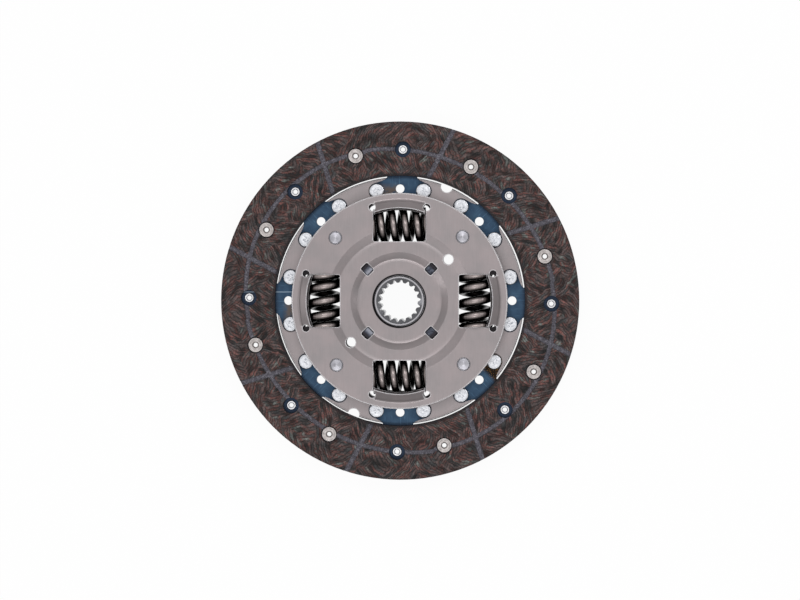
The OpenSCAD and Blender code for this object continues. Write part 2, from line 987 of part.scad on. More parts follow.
// A facing with its rubbing face up, over the segments' petals
module facing() {
    near = round_angles(segments, near_rivet_angle);
    far = round_angles(segments, far_rivet_angle);
    translate([0, 0, petal_top_z])
        difference() {
            linear_extrude(facing_t)
                difference() {
                    ring_plan(facing_ri, facing_ro);
                    hole_circle(facing_shank_r + fit_gap, facing_rivet_r, near);
                    hole_circle(access_hole_r, facing_rivet_r, far);
                }
            translate([0, 0, facing_floor_t])
                linear_extrude(facing_t)
                    hole_circle(counterbore_r, facing_rivet_r, near);
            translate([0, 0, facing_t - groove_depth])
                linear_extrude(facing_t) {
                    slanted_grooves_plan();
                    oval_groove_plan();
                }
        }
}

// Tubular rivets of a facing, from their heads in the counterbores to their tails
module facing_rivets() {
    bore = facing_rivet_bore_r;
    shank = facing_shank_r;
    grip = facing_floor_t + segment_t;
    tail = -grip - tail_h;
    for (a = round_angles(segments, near_rivet_angle))
        translate(concat(polar(facing_rivet_r, a), [petal_top_z + facing_floor_t]))
            rotate_extrude($fn = 48)
                polygon([
                    [bore, tail + rivet_mouth],
                    [bore + 0.5, tail],
                    [shank + tail_spread - 0.3, tail],
                    [shank + tail_spread, tail + 0.3],
                    [shank + tail_spread, -grip],
                    [shank, -grip],
                    [shank, 0],
                    [facing_head_r, 0],
                    [facing_head_r, facing_head_h - 0.3],
                    [facing_head_r - 0.3, facing_head_h],
                    [facing_head_r - 0.9, facing_head_h],
                    [facing_head_r - 1.3, facing_head_h - 0.15],
                    [bore + rivet_mouth, facing_head_h - 0.15],
                    [bore, facing_head_h - 0.15 - rivet_mouth]
                ]);
}

// Turns a front piece over to the back, about a line in the middle of the petals
module turned_over() {
    translate([0, 0, flip_z])
        rotate([0, 0, petal_angle])
            rotate([180, 0, 0])
                rotate([0, 0, -petal_angle])
                    translate([0, 0, -flip_z])
                        children();
}

module front_facing() {
    color("sienna")
        facing();
}

module back_facing() {
    color("sienna")
        turned_over()
            facing();
}

module front_facing_rivets() {
    color("tan")
        facing_rivets();
}

module back_facing_rivets() {
    color("tan")
        turned_over()
            facing_rivets();
}

hub();
disc_plate();
retaining_plate();
spring_1();
spring_2();
spring_3();
spring_4();
cushion_segment_1();
cushion_segment_2();
cushion_segment_3();
cushion_segment_4();
cushion_segment_5();
cushion_segment_6();
cushion_segment_7();
cushion_segment_8();
front_facing();
back_facing();
front_friction_washer();
back_friction_washer();
thrust_ring();
cone_spring();
hub_bush();
segment_rivets();
front_facing_rivets();
back_facing_rivets();
stop_pins();
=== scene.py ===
import math

import bmesh
import bpy
from mathutils import Matrix, Vector


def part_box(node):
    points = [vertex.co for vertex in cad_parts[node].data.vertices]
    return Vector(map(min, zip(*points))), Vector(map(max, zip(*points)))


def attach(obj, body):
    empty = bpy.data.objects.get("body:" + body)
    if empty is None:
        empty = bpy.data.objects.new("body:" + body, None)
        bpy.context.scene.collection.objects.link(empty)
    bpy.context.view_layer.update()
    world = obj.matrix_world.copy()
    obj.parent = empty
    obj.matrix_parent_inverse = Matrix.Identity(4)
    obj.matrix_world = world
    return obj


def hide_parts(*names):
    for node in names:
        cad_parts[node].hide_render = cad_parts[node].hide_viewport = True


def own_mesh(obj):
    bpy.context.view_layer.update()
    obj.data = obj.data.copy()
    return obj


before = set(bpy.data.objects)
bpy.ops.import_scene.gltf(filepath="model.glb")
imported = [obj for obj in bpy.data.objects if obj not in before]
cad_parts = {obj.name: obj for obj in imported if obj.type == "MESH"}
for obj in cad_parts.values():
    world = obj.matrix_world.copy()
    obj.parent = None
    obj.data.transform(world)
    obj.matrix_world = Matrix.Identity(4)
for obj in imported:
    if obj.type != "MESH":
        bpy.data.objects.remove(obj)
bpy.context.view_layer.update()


# Sizes that the construction fixes, in metres and radians

MM = 0.001


def radii(node):
    """Least and greatest distance of a node from the disc's axis."""
    distances = [vertex.co.xy.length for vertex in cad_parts[node].data.vertices]
    return min(distances), max(distances)


def ring_radius(node):
    """Radius of the circle that the like pieces of a node lie on."""
    return sum(radii(node)) / 2


def middle(node):
    low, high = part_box(node)
    return (low + high) / 2


def extent(node):
    low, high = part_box(node)
    return high - low


FACING_RI, FACING_RO = radii("front_facing")
FACING_MID_R = (FACING_RI + FACING_RO) / 2
FACING_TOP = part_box("front_facing")[1].z
FACING_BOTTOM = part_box("back_facing")[0].z
GROOVE_DEPTH = 0.9 * MM
PLATE_BORE_R = radii("retaining_plate")[0]
HUB_R = 13.3 * MM
SEGMENTS = 8
SEGMENT_PITCH = 2 * math.pi / SEGMENTS
SEGMENT_RIVET_R = ring_radius("segment_rivets")
SEGMENT_RIVET_ANGLE = math.radians(12.05)
STOP_PINS = 4
STOP_PIN_R = ring_radius("stop_pins")
STOP_PIN_ANGLE = math.radians(45.5)
LUGS = 4
LUG_RING_R = 23.8 * MM
LUG_ANGLE = math.radians(45.4)
SPRINGS = 4
SPRING_CENTRE_R = middle("spring_1").x
SPRING_Z = middle("spring_1").z
SPRING_L = extent("spring_1").y
SPRING_OD = extent("spring_1").z


# Colours

def linear(*srgb):
    """A colour given as it looks, from 0 to 255, in the renderer's own linear values."""
    out = []
    for value in srgb:
        share = value / 255
        out.append(share / 12.92 if share <= 0.04045 else ((share + 0.055) / 1.055) ** 2.4)
    return (*out, 1.0)


def grey(level):
    return (level, level, level, 1.0)


# Building materials from nodes

class Signal:
    """What a shader node gives out. One that is a number can be reckoned with like a plain number."""

    def __init__(self, finish, socket):
        self.finish = finish
        self.socket = socket

    def __abs__(self):
        return self.finish.math("ABSOLUTE", self)

    def __add__(self, other):
        return self.finish.math("ADD", self, other)

    def __sub__(self, other):
        return self.finish.math("SUBTRACT", self, other)

    def __rsub__(self, other):
        return self.finish.math("SUBTRACT", other, self)

    def __mul__(self, other):
        return self.finish.math("MULTIPLY", self, other)

    def __truediv__(self, other):
        return self.finish.math("DIVIDE", self, other)


# Noise lies mostly within this distance of 0.5
NOISE_SPREAD = 0.2
# How far a rounded normal agrees with the surface's own, where the edge band starts and where it is full
EDGE_BAND_FROM = (0.985, 0.92)
BEVEL_SAMPLES = 4
# Sockets that the mix node uses for colours
MIX_INPUTS = (0, 6, 7)
MIX_OUTPUT = 2


class Finish:
    """A procedural material, whose methods add nodes and return what they give out."""

    def __init__(self, name, **constants):
        self.material = bpy.data.materials.new(name)
        self.material.use_nodes = True
        self.tree = self.material.node_tree
        self.shader = self.tree.nodes["Principled BSDF"]
        for socket, value in constants.items():
            self.shader.inputs[socket.replace("_", " ")].default_value = value
        self.place = Signal(self, self.node("ShaderNodeTexCoord").outputs["Object"])
        self.x, self.y, self.height = self.parts(self.place)
        self.angle = self.math("ARCTAN2", self.y, self.x)
        self.radius = self.length(self.x, self.y)

    def node(self, kind, settings=None, **inputs):
        made = self.tree.nodes.new(kind)
        for key, value in (settings or {}).items():
            setattr(made, key, value)
        for key, value in inputs.items():
            self.put(made.inputs[key.replace("_", " ")], value)
        return made

    def put(self, socket, value):
        if isinstance(value, Signal):
            self.tree.links.new(value.socket, socket)
        else:
            socket.default_value = value

    def math(self, operation, *values):
        made = self.node("ShaderNodeMath", {"operation": operation})
        for socket, value in zip(made.inputs, values):
            self.put(socket, value)
        return Signal(self, made.outputs[0])

    def length(self, x, y):
        return self.math("SQRT", x * x + y * y)

    def clamped(self, value, low, high):
        return self.math("MINIMUM", self.math("MAXIMUM", value, low), high)

    def blend(self, share, low, high):
        """A number that goes from low to high as share goes from 0 to 1."""
        made = self.node("ShaderNodeMapRange", {"clamp": True}, Value=share, To_Min=low, To_Max=high)
        return Signal(self, made.outputs[0])

    def step(self, value, start, end):
        """0 below start and 1 above end, with a smooth rise between, or a fall where end is lower."""
        before, after = (0, 1) if start < end else (1, 0)
        span = dict(From_Min=min(start, end), From_Max=max(start, end), To_Min=before, To_Max=after)
        made = self.node("ShaderNodeMapRange", {"interpolation_type": "SMOOTHSTEP"}, Value=value, **span)
        return Signal(self, made.outputs[0])

    def mix(self, share, first, second, kind="MIX"):
        settings = {"data_type": "RGBA", "blend_type": kind, "clamp_factor": True}
        made = self.node("ShaderNodeMix", settings)
        for index, value in zip(MIX_INPUTS, (share, first, second)):
            self.put(made.inputs[index], value)
        return Signal(self, made.outputs[MIX_OUTPUT])

    def cover(self, tone, share, colour, strength=1.0):
        """The tone with a colour over it where share is 1, as strongly as strength says."""
        return self.mix(share * strength, tone, colour)

    def tinted(self, tone, tint):
        return self.mix(1.0, tone, tint, "MULTIPLY")

    def ramp(self, value, *stops):
        made = self.node("ShaderNodeValToRGB", Fac=value)
        elements = made.color_ramp.elements
        while len(elements) < len(stops):
            elements.new(0.5)
        for element, (at, colour) in zip(elements, stops):
            element.position = at
            element.color = colour
        return Signal(self, made.outputs["Color"])

    def mottle(self, noise, low, high, spread=NOISE_SPREAD):
        """A colour that goes from low to high as noise goes through its range."""
        return self.ramp(noise, (0.5 - spread, low), (0.5 + spread, high))

    def vector(self, x=0.0, y=0.0, z=0.0):
        made = self.node("ShaderNodeCombineXYZ")
        for socket, value in zip(made.inputs, (x, y, z)):
            self.put(socket, value)
        return Signal(self, made.outputs[0])

    def parts(self, vector):
        made = self.node("ShaderNodeSeparateXYZ")
        self.put(made.inputs[0], vector)
        return [Signal(self, socket) for socket in made.outputs]

    def nearest(self, count, ring_r, first, either_side=0.0):
        """From the nearest of count points on a ring: how far out a place lies, and how far away in all.

        The first point is at angle first. With either_side, each is a pair, at that angle on both sides.
        """
        pitch = 2 * math.pi / count
        turn = self.angle - first
        local = turn - self.math("ROUND", turn / pitch) * pitch
        if either_side:
            local = abs(local) - either_side
        outward = self.radius - ring_r
        return outward, self.length(local * ring_r, outward)

    def true_normal(self):
        return Signal(self, self.node("ShaderNodeNewGeometry").outputs["True Normal"])

    def flatness(self):
        """How much the surface lies across the disc's axis, from 0 on its walls to 1 on its flats."""
        return abs(self.parts(self.true_normal())[2])

    def noise(self, size, vector=None, detail=2.0, roughness=0.5, stretch=(1, 1, 1)):
        """Smooth noise from 0 to 1, with lumps about size across, in metres, times stretch on each axis."""
        scaled = self.node("ShaderNodeMapping", {"vector_type": "POINT"}, Vector=vector or self.place)
        scaled.inputs["Scale"].default_value = [1 / (size * s) for s in stretch]
        made = self.node("ShaderNodeTexNoise", Detail=detail, Roughness=roughness, Scale=1.0)
        self.tree.links.new(scaled.outputs[0], made.inputs["Vector"])
        return Signal(self, made.outputs["Fac"])

    def rounded(self, radius):
        """A normal that rounds sharp edges by radius."""
        made = self.node("ShaderNodeBevel", {"samples": BEVEL_SAMPLES}, Radius=radius)
        return Signal(self, made.outputs[0])

    def bump(self, height, distance, strength, normal=None):
        made = self.node("ShaderNodeBump", Height=height, Distance=distance, Strength=strength)
        if normal is not None:
            self.put(made.inputs["Normal"], normal)
        return Signal(self, made.outputs[0])

    # A mask for painted highlights and painted shade along sharp edges
    def edge_band(self, reach):
        """1 along sharp edges, as far as reach, and 0 elsewhere."""
        made = self.node("ShaderNodeVectorMath", {"operation": "DOT_PRODUCT"})
        self.put(made.inputs[0], self.rounded(reach))
        self.put(made.inputs[1], self.true_normal())
        return self.step(Signal(self, made.outputs["Value"]), *EDGE_BAND_FROM)

    def done(self, tone, roughness, normal):
        """The material, with all that varies over it put into the shader."""
        self.put(self.shader.inputs["Base Color"], tone)
        self.put(self.shader.inputs["Roughness"], roughness)
        self.put(self.shader.inputs["Normal"], normal)
        return self.material


# Flatness at which a surface starts to count as a wall, and at which it is one
WALL = (0.5, 0.2)


# Plates: cold-rolled sheet with a faint lengthwise grain, painted shade on the punched walls and round the
# bore, and a painted highlight along the sheared edges

PLATE_TONES = (linear(145, 139, 140), linear(153, 144, 145))
PLATE_STREAKS = (grey(0.94), grey(1.03))
# Painted shade on the punched walls
PLATE_WALL_SHADE = linear(44, 42, 43)
# Painted shadow of the gap between the bore and the hub
PLATE_BORE_SHADOW = linear(40, 38, 40)
# Painted highlight along the sheared edges, less metallic than the sheet
PLATE_EDGE_HIGHLIGHT = linear(236, 234, 237)
PLATE_EDGE_HIGHLIGHT_METALLIC = 0.1
PLATE_EDGE_HIGHLIGHT_W = 0.9 * MM
PLATE_EDGE_HIGHLIGHT_FLATNESS = (0.1, 0.3)
PLATE_CLOUD = 9 * MM
PLATE_GRAIN_W = 0.35 * MM
PLATE_GRAIN_LENGTH = 22
PLATE_GRAIN_H = 0.008 * MM
PLATE_ROUNDING = 0.4 * MM
PLATE_ROUGHNESS = (0.3, 0.42)
# The painted shadow of the gap round the bore ends between these distances from its wall
BORE_SHADOW_W = (0.4 * MM, 0.15 * MM)
# The painted edge highlight starts and is full at these distances from a stop pin's middle, and from the
# axis
HIGHLIGHT_FROM_PIN = (4.6 * MM, 5.4 * MM)
HIGHLIGHT_FROM_AXIS = (15.0 * MM, 16.0 * MM)

# Steps pressed into the retaining plate, and the shoulder before each slope, which the mesh hasn't
PRESSED_STEPS = (
    dict(start=34.2 * MM, width=4.6 * MM, shoulder=2.2 * MM),
    dict(start=22.4 * MM, width=3.8 * MM, shoulder=1.4 * MM),
)
STEP_H = 1.1 * MM
# The slope's outline, from its shoulder to its foot, and how much steeper it looks than the mesh
STEP_CURVE = ((0.0, 0.0), (0.12, 0.03), (0.25, 0.09), (0.33, 0.19), (0.92, 1.0))
STEEPER = 1.6


def pressed_step(made, shape, start, width, shoulder):
    """The shape with one step more: the mesh's own slope taken off, and the curve's put on."""
    share = (made.radius - (start - shoulder)) / (width + shoulder)
    curve = made.ramp(share, *((at, grey(level)) for at, level in STEP_CURVE))
    own = made.step(made.radius, start, start + width)
    return made.bump(own - curve * STEEPER, STEP_H, strength=1.0, normal=shape)


def plate_steel(name, steps=()):
    made = Finish(name, Metallic=1.0)
    flatness = made.flatness()
    grain = made.noise(PLATE_GRAIN_W, stretch=(1, PLATE_GRAIN_LENGTH, 1), detail=3.0, roughness=0.65)
    tone = made.mottle(made.noise(PLATE_CLOUD, detail=3.0), *PLATE_TONES)
    tone = made.tinted(tone, made.mottle(grain, *PLATE_STREAKS, spread=0.25))
    # Painted shade on the punched walls
    tone = made.cover(tone, made.step(flatness, *WALL), PLATE_WALL_SHADE)
    # Painted shadow round the bore
    bore_shadow = made.step(made.radius, *(PLATE_BORE_R + w for w in BORE_SHADOW_W))
    tone = made.cover(tone, bore_shadow, PLATE_BORE_SHADOW)
    # Painted highlight along the sheared edges, kept away from the stop pins and the bore
    _, from_pin = made.nearest(STOP_PINS, STOP_PIN_R, STOP_PIN_ANGLE)
    highlight_allowed = made.step(from_pin, *HIGHLIGHT_FROM_PIN) * made.step(made.radius, *HIGHLIGHT_FROM_AXIS)
    edge_highlight = made.edge_band(PLATE_EDGE_HIGHLIGHT_W) * highlight_allowed * made.step(flatness, *PLATE_EDGE_HIGHLIGHT_FLATNESS)
    tone = made.cover(tone, edge_highlight, PLATE_EDGE_HIGHLIGHT)
    made.put(made.shader.inputs["Metallic"], made.blend(edge_highlight, 1.0, PLATE_EDGE_HIGHLIGHT_METALLIC))
    shape = made.bump(grain, PLATE_GRAIN_H, strength=0.4, normal=made.rounded(PLATE_ROUNDING))
    for pressed in steps:
        shape = pressed_step(made, shape, **pressed)
    return made.done(tone, made.blend(grain, *PLATE_ROUGHNESS), shape)


# Hub: turned and broached steel, with fine rings from the tool, a bright end face, and painted shade on the
# barrel and the flange

HUB_TONES = (linear(112, 112, 116), linear(134, 134, 138))
HUB_END = linear(178, 176, 180)
HUB_END_FLATNESS = (0.93, 0.99)
# Painted shade in the gap round the barrel and on the flange under the plates
HUB_SHADED = linear(46, 44, 46)
HUB_CLOUD = 5 * MM
HUB_ROUNDING = 0.2 * MM
HUB_ROUGHNESS = (0.18, 0.28)
TOOL_MARK_W = 0.16 * MM
TOOL_MARK_H = 0.012 * MM
# Distances from the barrel's surface at which its painted shade starts and is full, on its wall and on the
# flange
BARREL_SHADE = (-0.5 * MM, -0.2 * MM)
FLANGE_SHADE = (0.1 * MM, 0.3 * MM)


def hub_steel():
    made = Finish("hub_steel", Metallic=1.0)
    flatness = made.flatness()
    marks = made.vector(made.radius / TOOL_MARK_W, made.height / TOOL_MARK_W)
    rings = made.noise(1.0, marks, detail=1.0)
    cloud = made.noise(HUB_CLOUD, detail=3.0)
    tone = made.mottle(cloud, *HUB_TONES)
    tone = made.cover(tone, made.step(flatness, *HUB_END_FLATNESS), HUB_END)
    # Painted shade on the barrel's wall and on the flange
    barrel = made.step(made.radius, *(HUB_R + d for d in BARREL_SHADE)) * made.step(flatness, *WALL)
    flange = made.step(made.radius, *(HUB_R + d for d in FLANGE_SHADE))
    tone = made.cover(tone, made.math("MAXIMUM", barrel, flange), HUB_SHADED)
    shape = made.bump(rings, TOOL_MARK_H, strength=0.4, normal=made.rounded(HUB_ROUNDING))
    return made.done(tone, made.blend(cloud, *HUB_ROUGHNESS), shape)


# Springs: dark oiled steel wire, with a painted highlight along the crests that look outward

WIRE_TONE = linear(30, 27, 26)
# Painted highlight on the wire's outward crests
CREST_HIGHLIGHT_TONES = (linear(142, 132, 130), linear(162, 152, 150))
# How squarely the wire looks away from the spring's middle, where its painted crest highlight starts and is
# full
CREST_HIGHLIGHT = (0.66, 1.02)
# Height above or below that middle from which looking up or down counts in full
CREST_HEIGHT = SPRING_OD / 8
PEEL_SIZE = 0.9 * MM
PEEL_H = 0.02 * MM
WIRE_ROUGHNESS = (0.24, 0.34)


def spring_coat():
    made = Finish("spring_coat", Metallic=1.0)
    peel = made.noise(PEEL_SIZE, detail=3.0)
    above = made.clamped((made.height - SPRING_Z) / CREST_HEIGHT, -1.0, 1.0)
    outward = made.parts(made.true_normal())[2] * above
    # Painted highlight along the outward crests; elsewhere the wire keeps its dark tone
    tone = made.cover(WIRE_TONE, made.step(outward, *CREST_HIGHLIGHT), made.mottle(peel, *CREST_HIGHLIGHT_TONES))
    shape = made.bump(peel, PEEL_H, strength=0.3)
    return made.done(tone, made.blend(peel, *WIRE_ROUGHNESS), shape)


# Cushion segments: blued spring steel, with the marks of its heating and painted shade under the facing's
# inner edge

BLUE_TONES = (linear(47, 64, 84), linear(62, 84, 105))
BLUE_STREAK = linear(80, 110, 134)
BLUE_EAR = linear(24, 30, 42)
# Painted shade where the steel runs under the facing
BLUE_SHADED = linear(42, 48, 62)
BLUE_CLOUD = 6 * MM
STREAK_W = 0.5 * MM
STREAK_LENGTH = 14
STREAK_H = 0.012 * MM
STREAK_FROM = (0.58, 0.75)
BLUE_ROUNDING = 0.15 * MM
BLUE_ROUGHNESS = (0.32, 0.46)
# Distance of a segment's dark ears from its middle line, as a share of the rivets' circle
EARS = (0.13, 0.19)
# Distances past the facing's inner edge between which the steel under it darkens with painted shade
SHADE_UNDER_FACING = (-2.4 * MM, 0.8 * MM)

# Marks that the photograph shows on single segments, and where they lie from the segment's middle line
BROWN_SEGMENTS = (3, 5)
BROWN = linear(92, 84, 80)
BROWN_SIDE = (-1.0 * MM, 3.0 * MM)
BROWN_FROM_RIVETS = (3.5 * MM, -1.0 * MM)
BROWN_SIZE = 2.2 * MM
BROWN_FROM = (0.32, 0.52)
SCRATCHED_SEGMENT = 5
SCRATCH = linear(170, 186, 200)
SCRATCH_AT = -4.6 * MM
SCRATCH_W = (0.3 * MM, 0.12 * MM)
SPECKLED_SEGMENT = 8
SPECKLED_SIDE = (4.0 * MM, 7.0 * MM)
SPECKLE_GROUND = linear(34, 28, 24)
SPECKLE = linear(120, 88, 48)
SPECKLE_SIZE = 0.55 * MM
SPECKLE_FROM = (0.6, 0.68)


def browned(made, tone, local, across, along):
    """A brown patch on one side of the rivets, ragged at its edge."""
    low = made.step(along, *(SEGMENT_RIVET_R + d for d in BROWN_FROM_RIVETS))
    ragged = made.step(made.noise(BROWN_SIZE, local, detail=3.0), *BROWN_FROM)
    return made.cover(tone, made.step(across, *BROWN_SIDE) * low * ragged, BROWN)


def speckled(made, tone, local, across):
    """A dark corner with straw-coloured specks."""
    specks = made.step(made.noise(SPECKLE_SIZE, local, detail=1.0), *SPECKLE_FROM)
    dark = made.mix(specks, SPECKLE_GROUND, SPECKLE)
    return made.cover(tone, made.step(across, *SPECKLED_SIDE), dark)


def blued_steel(number):
    made = Finish(f"blued_steel_{number}", Metallic=1.0)
    turn = (number - 1) * SEGMENT_PITCH
    along = made.x * math.cos(turn) + made.y * math.sin(turn)
    across = made.y * math.cos(turn) - made.x * math.sin(turn)
    local = made.vector(across, along, made.height)
    stretch = (1, STREAK_LENGTH, STREAK_LENGTH)
    streak = made.noise(STREAK_W, local, stretch=stretch, detail=3.0, roughness=0.6)
    tone = made.mottle(made.noise(BLUE_CLOUD, local), *BLUE_TONES)
    tone = made.cover(tone, made.step(streak, *STREAK_FROM), BLUE_STREAK)
    tone = made.cover(tone, made.step(abs(across / SEGMENT_RIVET_R), *EARS), BLUE_EAR, strength=0.75)
    # Painted shade under the facing's inner edge
    facing_shade = made.step(made.radius, *(FACING_RI + d for d in SHADE_UNDER_FACING))
    tone = made.cover(tone, facing_shade, BLUE_SHADED, strength=0.8)
    if number in BROWN_SEGMENTS:
        tone = browned(made, tone, local, across, along)
    if number == SCRATCHED_SEGMENT:
        scratch = made.step(abs(across - SCRATCH_AT), *SCRATCH_W)
        tone = made.cover(tone, scratch, SCRATCH, strength=0.5)
    if number == SPECKLED_SEGMENT:
        tone = speckled(made, tone, local, across)
    shape = made.bump(streak, STREAK_H, strength=0.4, normal=made.rounded(BLUE_ROUNDING))
    return made.done(tone, made.blend(streak, *BLUE_ROUGHNESS), shape)


# Facings: yarn wound in waves between the two edges, set in resin and ground flat

YARN_W = 1.7 * MM
# Waves of a strand round the disc, and how far each reaches from the facing's middle circle
YARN_LOBES = 8.6
YARN_SWING = (FACING_RO - FACING_RI) / 2 + 1.5 * MM
# Distance outward in which a strand's colour changes
YARN_RUN = 6 * MM
YARN_H = 0.22 * MM
YARN_CROWN = 3.4
# Distance from a strand's middle, as a share of its width, where the dark gap starts and is full
YARN_GAP_FROM = (0.2, 0.5)
# How far the noise moves on from one strand to the next: below 1, neighbours are alike
PATCH = 0.6
# Fibres to a strand's width and to its run, and what they add to its colour and to its height
FIBRES_ACROSS = 3.0
FIBRES_ALONG = 2.2
FIBRE_TONE = 0.5
FIBRE_H = 0.5
# Lumps of the noise that bends the strands, and how far it moves them
WANDER_SIZE = 16 * MM
WANDER = 9.0 * MM
FRAY_SIZE = 3.0 * MM
FRAY = 3.4 * MM
FLUFF_SIZE = 0.7 * MM
# Patches in which one layer of yarn or the other is on top
LAYER_SIZE = 14 * MM
LAYER_CHANGE = (0.46, 0.54)
# Places in the noise, far enough apart that the two layers, their shades and their fibres differ
LAYER_SEEDS = (1.0, 40.0)
SHADE_SEED = 4
FIBRE_SEED = 9

YARN_TONES = (
    (0.34, linear(66, 66, 67)),
    (0.43, linear(86, 75, 74)),
    (0.50, linear(94, 80, 78)),
    (0.57, linear(112, 68, 63)),
    (0.63, linear(92, 80, 77)),
    (0.70, linear(106, 110, 107)),
)
YARN_LEVELS = (grey(0.22), grey(1.18))
FLUFF_LEVELS = (grey(0.62), grey(1.38))
YARN_GAP = linear(24, 23, 24)
RESIN = linear(34, 34, 37)
RESIN_SIZE = 2.6 * MM
RESIN_FROM = (0.58, 0.7)
GROOVE_TONES = (
    (0.3, linear(72, 70, 77)),
    (0.55, linear(95, 93, 102)),
    (0.68, linear(126, 124, 133)),
)
GROOVE_RIB = 0.8 * MM
GROOVE_BANK = linear(26, 25, 28)
# Depths, as shares of the groove's, between which its floor starts, and its bank starts and ends
GROOVE_FLOOR_FROM = (0.3, 0.6)
GROOVE_BANK_FROM = (0.1, 0.35)
GROOVE_BANK_TO = (0.8, 0.5)
# Painted shade on the facing's rims
FACING_RIM_SHADE = linear(34, 31, 34)
# Distances from the facing's outer and inner edges between which painted shade darkens its rims
OUTER_RIM = (-1.0 * MM, -0.3 * MM)
INNER_RIM = (1.8 * MM, 0.6 * MM)
OUTER_RIM_STRENGTH = 0.3
INNER_RIM_STRENGTH = 0.8
# Painted shade on the facing's walls
FACING_WALL_SHADE = linear(36, 34, 37)
FACING_WALL_FLATNESS = (0.6, 0.2)
FACING_ROUNDING = 0.3 * MM
FACING_ROUGHNESS = (0.74, 0.55)


def yarn_layer(made, turn, wander, seed):
    """Colour and height of one of the two crossing layers of yarn; turn is 1 or -1."""
    share = made.clamped((made.radius - FACING_MID_R) / YARN_SWING, -1.0, 1.0)
    swing = made.math("ARCCOSINE", share) * (turn * FACING_MID_R / YARN_LOBES)
    fray = (made.noise(FRAY_SIZE, detail=3.5, roughness=0.6) - 0.5) * FRAY
    lane = (made.angle * FACING_MID_R + swing + wander + fray) / YARN_W
    number = made.math("FLOOR", lane)
    across = abs(lane - number - 0.5)
    run = made.radius / YARN_RUN
    patch = number * PATCH
    chance = made.noise(1.0, made.vector(patch, run, seed), detail=1.0)
    shade = made.noise(1.0, made.vector(patch, run, seed + SHADE_SEED), detail=1.0)
    along_fibre = made.vector(lane * FIBRES_ACROSS, run * FIBRES_ALONG, seed + FIBRE_SEED)
    fibre = made.noise(1.0, along_fibre, detail=3.0)
    tone = made.ramp(chance + (fibre - 0.5) * FIBRE_TONE, *YARN_TONES)
    tone = made.tinted(tone, made.mottle(shade, *YARN_LEVELS, spread=0.16))
    tone = made.tinted(tone, made.mottle(made.noise(FLUFF_SIZE), *FLUFF_LEVELS, spread=0.18))
    tone = made.cover(tone, made.step(across, *YARN_GAP_FROM), YARN_GAP, strength=0.68)
    crown = 1.0 - across * across * YARN_CROWN
    return tone, crown + fibre * FIBRE_H


def grooved(made, tone, top, way):
    """The grooves' pale ribbed floor and dark banks; top and way are the rubbing face's."""
    depth = (top - made.height) * way / GROOVE_DEPTH
    floor = made.step(depth, *GROOVE_FLOOR_FROM)
    ribbed = made.ramp(made.noise(GROOVE_RIB), *GROOVE_TONES)
    tone = made.cover(tone, floor, ribbed, strength=0.9)
    bank = made.step(depth, *GROOVE_BANK_FROM) * made.step(depth, *GROOVE_BANK_TO)
    return made.cover(tone, bank, GROOVE_BANK, strength=0.9)


def shaded_edges(made, tone):
    """Painted shade on both rims and all walls of the facing."""
    outer = made.step(made.radius, *(FACING_RO + d for d in OUTER_RIM)) * OUTER_RIM_STRENGTH
    inner = made.step(made.radius, *(FACING_RI + d for d in INNER_RIM)) * INNER_RIM_STRENGTH
    tone = made.cover(tone, made.math("MAXIMUM", outer, inner), FACING_RIM_SHADE)
    wall = made.step(made.flatness(), *FACING_WALL_FLATNESS)
    return made.cover(tone, wall, FACING_WALL_SHADE, strength=0.8)


def facing_yarn(name, top, way):
    """way is 1 where the rubbing face looks up, and -1 where it looks down."""
    made = Finish(name, Roughness=0.72, Specular_IOR_Level=0.25)
    wander = (made.noise(WANDER_SIZE, detail=1.0) - 0.5) * WANDER
    first, first_height = yarn_layer(made, 1, wander, LAYER_SEEDS[0])
    second, second_height = yarn_layer(made, -1, wander, LAYER_SEEDS[1])
    over = made.step(made.noise(LAYER_SIZE), *LAYER_CHANGE)
    tone = made.mix(over, first, second)
    height = first_height + (second_height - first_height) * over
    resin = made.step(made.noise(RESIN_SIZE), *RESIN_FROM)
    tone = made.cover(tone, resin, RESIN, strength=0.55)
    tone = grooved(made, tone, top, way)
    tone = shaded_edges(made, tone)
    shape = made.bump(height, YARN_H, strength=0.9, normal=made.rounded(FACING_ROUNDING))
    return made.done(tone, made.blend(resin, *FACING_ROUGHNESS), shape)


# Segment rivets: bright zinc with spangles, creases in the middle of the head, a ring round it, and painted
# shade on the head's sides

ZINC_TONES = (linear(202, 204, 210), linear(236, 237, 241))
ZINC_CREASE = linear(128, 132, 142)
ZINC_RING = linear(160, 164, 174)
# Painted shade on the sides of the head
ZINC_SIDE_SHADE = linear(60, 62, 70)
ZINC_SIDE_FLATNESS = (0.7, 0.3)
ZINC_RING_R = 3.0 * MM
ZINC_RING_W = (0.35 * MM, 0.05 * MM)
ZINC_MIDDLE = (2.6 * MM, 1.6 * MM)
ZINC_CREASE_W = (0.05, 0.01)
SPANGLE_SIZE = 1.3 * MM
DENT_SIZE = 1.5 * MM
DENT_H = 0.1 * MM
ZINC_ROUNDING = 0.25 * MM
ZINC_ROUGHNESS = (0.24, 0.4)


